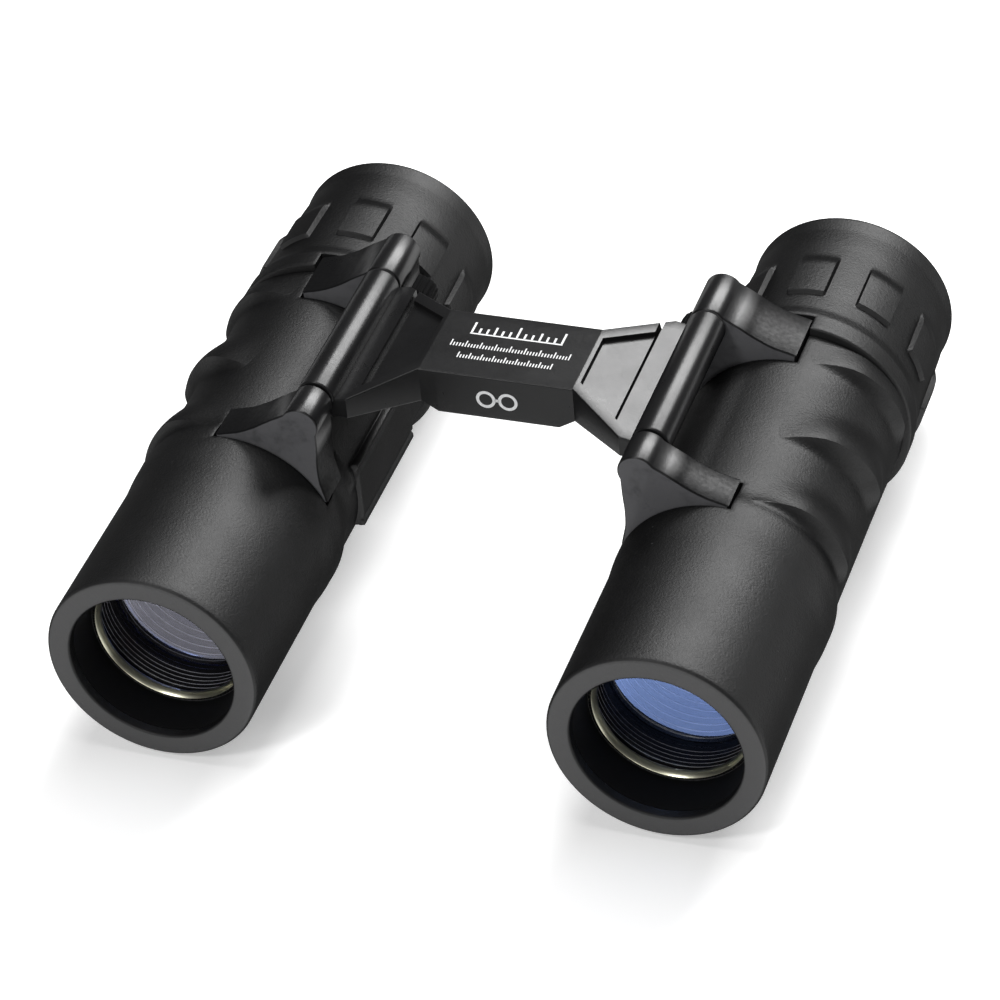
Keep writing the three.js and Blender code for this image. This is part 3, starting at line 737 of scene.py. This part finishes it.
class Finish:
    """One material and its nodes."""

    def __init__(self, name):
        self.material = bpy.data.materials.new(name)
        self.material.use_nodes = True
        self.tree = self.material.node_tree
        self.tree.nodes.clear()
        self.place = self.node("ShaderNodeTexCoord", {}, {}, "Object")

    def node(self, kind, settings, inputs, output=0):
        """Adds a node: its settings first, then a value or a link for each socket."""
        made = self.tree.nodes.new(kind)
        for key, value in settings.items():
            setattr(made, key, value)
        for key, value in inputs.items():
            if isinstance(value, Value):
                self.tree.links.new(value.socket, made.inputs[key])
            else:
                made.inputs[key].default_value = value
        return Value(self, made.outputs[output])

    def noise(self, scale, detail=3.0, rough=0.5):
        return self.node("ShaderNodeTexNoise", {"noise_dimensions": "3D"},
                         {"Vector": self.place, "Scale": scale, "Detail": detail,
                          "Roughness": rough})

    def band(self, value, low, high):
        """0 to 1 as a value goes from low to high."""
        return self.node("ShaderNodeMapRange", {"interpolation_type": "SMOOTHSTEP"},
                         {"Value": value, "From Min": low, "From Max": high})

    def blend(self, factor, a, b):
        """A colour between a and b."""
        a, b = (c if isinstance(c, Value) else (*c, 1) for c in (a, b))
        return self.node("ShaderNodeMix", {"data_type": "RGBA"}, {0: factor, 6: a, 7: b}, 2)

    def told(self, attribute):
        """What the piece's own attribute says, from 0 to 1."""
        return self.node("ShaderNodeAttribute", {"attribute_name": attribute}, {}, "Fac")

    def along(self, axis):
        """One coordinate of the place, in metres."""
        return self.node("ShaderNodeSeparateXYZ", {}, {"Vector": self.place}, axis)

    def maths(self, operation, a, b=0.0):
        return self.node("ShaderNodeMath", {"operation": operation}, {0: a, 1: b})

    def bump(self, height, distance, strength=1.0):
        return self.node("ShaderNodeBump", {}, {"Height": height, "Distance": distance,
                                                "Strength": strength})

    def shader(self, **sockets):
        """A Principled shader; a name's underscores stand for spaces."""
        inputs = {key.replace("_", " "): (*v, 1) if isinstance(v, tuple) else v
                  for key, v in sockets.items()}
        return self.node("ShaderNodeBsdfPrincipled", {}, inputs)

    def matt_rim(self, surface, colour, normal, start=0.25, end=0.72, share=0.86, matt_part=0.0):
        """The surface, giving way to a matt one where it is seen edge on and on a matt part."""
        facing = self.node("ShaderNodeLayerWeight", {}, {"Blend": 0.5, "Normal": normal}, 1)
        matt = self.node("ShaderNodeBsdfDiffuse", {}, {"Color": colour, "Roughness": 1.0,
                                                       "Normal": normal})
        edge_on = self.band(facing, start, end) * share
        return self.node("ShaderNodeMixShader", {},
                         {0: edge_on + (1 - edge_on) * matt_part, 1: surface, 2: matt})

    def finish(self, surface):
        made = self.tree.nodes.new("ShaderNodeOutputMaterial")
        self.tree.links.new(surface.socket, made.inputs["Surface"])
        return self.material


def rubber(name, dark, light, roughness):
    """Moulded rubber: fine grain, slow mottling, a little pale dust, and painted light: the
    front face of the rim is painted lighter.
    """
    f = Finish(name)
    grain = f.noise(2600, 4.0, 0.6)
    mottle = f.noise(95, 3.0)
    dust = f.band(f.noise(900, 2.0, 0.7), 0.74, 0.82)
    tone = f.blend(grain * 0.55 + mottle * 0.45, dark, light)
    tone = f.blend(dust * 0.35, tone, (0.16, 0.16, 0.16))
    # Painted light: the rim's front face is painted a lighter grey to stand in for the front
    # light falling on it.
    rim = f.told("rim")
    tone = f.blend(rim * (0.7 + 0.3 * mottle), tone, (0.062, 0.062, 0.063))
    rough = roughness + (mottle - 0.5) * 0.14 + (grain - 0.5) * 0.10
    normal = f.bump(grain + 0.4 * f.noise(700, 3.0), 0.0001, 0.7)
    gloss = f.shader(Base_Color=tone, Roughness=rough, Normal=normal, Specular_IOR_Level=0.5)
    return f.finish(f.matt_rim(gloss, tone, normal))


def satin_paint(name, tone, metal, roughness, specular):
    """Thin satin paint over a casting: fine orange peel, brighter rubbed edges."""
    f = Finish(name)
    peel = f.noise(1500, 3.0, 0.55)
    cloud = f.noise(140, 3.0)
    edge = f.told("edge")
    rubbed = f.band(edge * (0.6 + 0.8 * f.noise(420, 3.0)), 0.45, 1.05)
    colour = f.blend(cloud, tuple(0.8 * c for c in tone), tuple(1.25 * c for c in tone))
    colour = f.blend(rubbed * 0.55, colour, (0.22, 0.22, 0.23))
    normal = f.bump(peel, 0.00003, 0.4)
    gloss = f.shader(Base_Color=colour, Metallic=metal, Normal=normal,
                     Specular_IOR_Level=specular,
                     Roughness=roughness + (cloud - 0.5) * 0.12 + (peel - 0.5) * 0.08)
    flank = f.told("flank")
    matt_part = flank * (0.58 + 0.3 * peel)
    return f.finish(f.matt_rim(gloss, colour, normal, 0.4, 0.9, matt_part=matt_part))


RINGS_PER_METRE = 2600


def turned_metal(name, tone, roughness, metal=1.0, specular=0.5):
    """Turned metal: fine rings round the barrel axis, told from distance along it."""
    f = Finish(name)
    rings = f.maths("SINE", f.along("Y") * (RINGS_PER_METRE * 2 * math.pi))
    cloud = f.noise(300, 3.0)
    colour = f.blend(cloud * 0.5 + rings * 0.12, tuple(0.85 * c for c in tone), tone)
    return f.finish(f.shader(Base_Color=colour, Metallic=metal, Specular_IOR_Level=specular,
                             Roughness=roughness + (cloud - 0.5) * 0.15,
                             Normal=f.bump(rings, 0.000008, 0.35)))


def black_with_painted_glints(name):
    """Dead black paint with painted glints: the tops of the ridges are painted near white, a
    little metallic and glossier, to stand in for glints of light on them.
    """
    f = Finish(name)
    ridge = f.told("ridge")
    grain = f.noise(1800, 3.0, 0.6)
    # Painted glints: the near-white colour on the ridge tops stands in for light glinting off
    # them.
    painted_glint = f.band(ridge + (grain - 0.5) * 0.05, 0.80, 0.98)
    colour = f.blend(painted_glint, (0.004, 0.004, 0.0045), (0.85, 0.86, 0.88))
    return f.finish(f.shader(Base_Color=colour, Metallic=0.5 * painted_glint,
                             Roughness=0.75 - 0.3 * painted_glint, Specular_IOR_Level=0.2,
                             Normal=f.bump(grain, 0.00003, 0.3)))


def retaining_ring(name):
    """A bright turned nose inside a dark knurled collar, told apart by radius."""
    f = Finish(name)
    up = f.along("Z") - AXIS_Z * MM
    out = f.maths("ABSOLUTE", f.along("X")) - AXIS_X * MM
    radius = (out * out + up * up) ** 0.5
    collar = f.band(radius, 0.01202, 0.01208)
    teeth = f.maths("SINE", f.maths("ARCTAN2", up, out) * 150.0)
    grain = f.noise(2200, 3.0, 0.6)
    glint = f.band(grain, 0.62, 0.72) * collar
    colour = f.blend(collar, (0.62, 0.61, 0.48), (0.01, 0.01, 0.009))
    colour = f.blend(glint, colour, (0.35, 0.33, 0.24))
    return f.finish(f.shader(Base_Color=colour, Metallic=1.0 - 0.6 * collar,
                             Roughness=0.3 + (grain - 0.5) * 0.12,
                             Normal=f.bump(teeth * collar, 0.00006, 0.6)))


def coated_glass(name, colour, share):
    """Clear glass whose front face carries a tinted mirror film, a little uneven."""
    f = Finish(name)
    haze = f.noise(160, 2.0)
    film = f.told("film")
    clear = f.node("ShaderNodeBsdfTransparent", {}, {"Color": (0.99, 0.99, 1.0, 1)})
    mirror = f.shader(Base_Color=f.blend(haze, colour, tuple(min(1, c * 1.1) for c in colour)),
                      Metallic=1.0, Roughness=0.02 + haze * 0.01)
    part = film * (share + (haze - 0.5) * 0.02)
    return f.finish(f.node("ShaderNodeMixShader", {}, {0: part, 1: clear, 2: mirror}))


def clear_glass(name):
    """Polished prism glass with a faint green tint."""
    f = Finish(name)
    haze = f.noise(60, 2.0)
    return f.finish(f.shader(Base_Color=f.blend(haze, (0.82, 0.9, 0.88), (0.9, 0.95, 0.94)),
                             Roughness=0.03 + haze * 0.03, Alpha=0.35))


def white_print(name):
    """Screen-printed white ink, slightly thin and grainy."""
    f = Finish(name)
    thin = f.noise(2400, 3.0, 0.6)
    return f.finish(f.shader(Base_Color=f.blend(thin, (0.62, 0.63, 0.64), (0.9, 0.9, 0.9)),
                             Roughness=0.5 + (thin - 0.5) * 0.2))


def moulded_nylon(name):
    """Matt black nylon with a fine grain."""
    f = Finish(name)
    grain = f.noise(5200, 2.0, 0.7)
    colour = f.blend(grain, (0.001, 0.001, 0.0012), (0.005, 0.005, 0.0055))
    return f.finish(f.shader(Base_Color=colour, Roughness=0.7 + (grain - 0.5) * 0.3,
                             Specular_IOR_Level=0.06, Normal=f.bump(grain, 0.0001, 0.6)))


RUBBER_TONES = (0.003, 0.003, 0.0032), (0.011, 0.011, 0.0114)
ARMOUR = rubber("front_rubber", *RUBBER_TONES, 0.53)
SLEEVE = rubber("rear_rubber", *RUBBER_TONES, 0.53)
CASTING = satin_paint("satin_casting", (0.012, 0.012, 0.0125), 0.05, 0.3, 0.32)
HINGE = satin_paint("satin_hinge", (0.011, 0.011, 0.0115), 0.06, 0.3, 0.42)
BLACK_METAL = turned_metal("black_anodised", (0.0022, 0.002, 0.0018), 0.5, 0.0, 0.08)
BAFFLE = black_with_painted_glints("baffle_black")
SILVER = retaining_ring("silver_ring")
STEEL = turned_metal("ground_steel", (0.55, 0.55, 0.56), 0.28)
DARK_SCREW = turned_metal("black_screw", (0.02, 0.02, 0.02), 0.45, 0.6)
# Partly painted reflection: each film mirrors the scene, but the front and inner films of each
# side get their own tint and strength so that each lens shows its own coloured reflection; the
# real coatings of the two sides are alike.
FRONT_COAT_AND_REFLECTION = {"right": coated_glass("right_front_coat_painted_reflection", (0.33, 0.48, 0.98), 0.44),
              "left": coated_glass("left_front_coat_painted_reflection", (0.80, 0.80, 0.95), 0.18)}
INNER_COAT_AND_REFLECTION = {"right": coated_glass("right_inner_coat_painted_reflection", (0.75, 0.75, 0.85), 0.16),
              "left": coated_glass("left_inner_coat_painted_reflection", (0.30, 0.40, 1.0), 0.30)}
EYE_GLASS = coated_glass("eye_coating", (0.45, 0.62, 0.55), 0.22)
PRISM = clear_glass("prism_glass")
INK = white_print("white_ink")
NYLON = moulded_nylon("black_nylon")


def dress(piece, material):
    """Gives the piece its one material."""
    piece.data.materials.clear()
    piece.data.materials.append(material)


for pair, material, slot in (
        (armour, ARMOUR, "armour_rubber"), (rear_sleeve, SLEEVE, "rear_rubber"),
        (front_lug, HINGE, "hinge_satin"), (rear_lug, HINGE, "hinge_satin"),
        (cap_screw, DARK_SCREW, "black_screw"), (strap_loop, NYLON, "strap_nylon"),
        (body_tube, BAFFLE, "tube_black"), (objective_ring, SILVER, "ring_silver"),
        (crown_lens, FRONT_COAT_AND_REFLECTION, "coated_glass"), (flint_lens, INNER_COAT_AND_REFLECTION, "coated_glass"),
        (light_baffle, BAFFLE, "black_plastic"), (eyepiece_cell, BLACK_METAL, "black_plastic"),
        (eye_ring, BLACK_METAL, "black_plastic"), (eye_lens, EYE_GLASS, "coated_glass"),
        (field_lens, EYE_GLASS, "coated_glass")):
    for side, piece in pair.items():
        dress(piece, material[side] if isinstance(material, dict) else material)
dress(bridge, CASTING)
for piece in prints:
    dress(piece, INK)

# Nodes that keep their own shape.
KEPT = {"hinge_pin": STEEL, "friction_washer": BLACK_METAL, "prism_cage": BLACK_METAL,
        "entry_prism": PRISM, "roof_prism": PRISM, "prism_clip": STEEL,
        "field_stop": BLACK_METAL, "field_ring": BLACK_METAL}
for side in ("right", "left"):
    for node, material in KEPT.items():
        dress(frame["nodes"][f"{side}_{node}"], material)


# ------------------------------------------------------------------ floor, light, camera
def floor():
    """A pale floor on the surface that the binoculars stand on."""
    n = 9
    g = np.linspace(-3.0, 3.0, n)
    x, y = np.meshgrid(g, g, indexing="ij")
    points = np.stack([x, y, np.zeros_like(x)], -1).reshape(-1, 3)
    i, j = np.meshgrid(np.arange(n - 1), np.arange(n - 1), indexing="ij")
    a = (i * n + j).ravel()
    mesh = bpy.data.meshes.new("floor")
    quads = np.stack([a, a + n, a + n + 1, a + 1], 1)
    mesh.from_pydata(points.tolist(), [], quads.tolist())
    piece = bpy.data.objects.new("floor", mesh)
    bpy.context.scene.collection.objects.link(piece)
    f = Finish("pale_floor")
    soft = f.noise(9, 2.0)
    piece.data.materials.append(f.finish(f.shader(
        Base_Color=f.blend(soft, (0.86, 0.86, 0.86), (0.89, 0.89, 0.89)), Roughness=0.9,
        Emission_Color=(1.0, 1.0, 1.0), Emission_Strength=0.36)))


def softbox(name, direction, along, distance, width, height, power):
    """An area lamp that faces the middle of the object, its width turned along a line."""
    lamp = bpy.data.lights.new(name, "AREA")
    lamp.shape, lamp.size, lamp.size_y = "RECTANGLE", width, height
    lamp.energy = power
    piece = bpy.data.objects.new(name, lamp)
    back = Vector(direction).normalized()
    side = Vector(along) - back * Vector(along).dot(back)
    side.normalize()
    turn = Matrix((side, back.cross(side), back)).transposed()
    piece.matrix_world = turn.to_4x4()
    piece.location = Vector((0, 0, 0.02)) + back * distance
    bpy.context.scene.collection.objects.link(piece)


floor()
# Name, direction it stands in, line its width follows, distance, width, height, watts.
for lamp in (
        ("rear_softbox", (0.195, 0.736, 0.648), (-0.958, 0, 0.288), 0.7, 0.46, 0.24, 6.2),
        ("overhead_softbox", (-0.05, 0.15, 1.0), (1, 0, 0), 1.0, 0.5, 0.8, 5.0),
        ("front_fill", (0.1, -1.0, 0.45), (1, 0, 0), 1.2, 1.0, 0.5, 3.6),
        ("front_spot", (-0.24, -0.7, 0.75), (1, 0, 0), 0.9, 0.16, 0.16, 1.9)):
    softbox(*lamp)

scene = bpy.context.scene
scene.world = bpy.data.worlds.new("studio")
scene.world.use_nodes = True
background = scene.world.node_tree.nodes["Background"]
background.inputs["Color"].default_value = (0.55, 0.55, 0.56, 1)
background.inputs["Strength"].default_value = 0.12
scene.view_settings.view_transform = "Standard"
scene.view_settings.gamma = 0.92

# A long lens from above, on the objective side: heading, tilt from straight down, roll.
CAMERA_PLACE = (189.580, -435.571, 404.274)        # from the centre of the front rims, mm
HEADING, TILT, ROLL = (math.radians(a) for a in (21.4154, 52.2234, -5.3716))
camera = bpy.data.objects.new("camera", bpy.data.cameras.new("camera"))
camera.data.lens, camera.data.sensor_width = 155.035, 36.0
camera.data.clip_start, camera.data.clip_end = 0.01, 10.0
turn = Matrix.Rotation(HEADING, 4, "Z") @ Matrix.Rotation(TILT, 4, "X") \
    @ Matrix.Rotation(ROLL, 4, "Z")
camera.matrix_world = Matrix.Translation(
    (Vector(CAMERA_PLACE) + Vector((0, RIM_Y, AXIS_Z))) * MM) @ turn
scene.collection.objects.link(camera)
scene.camera = camera
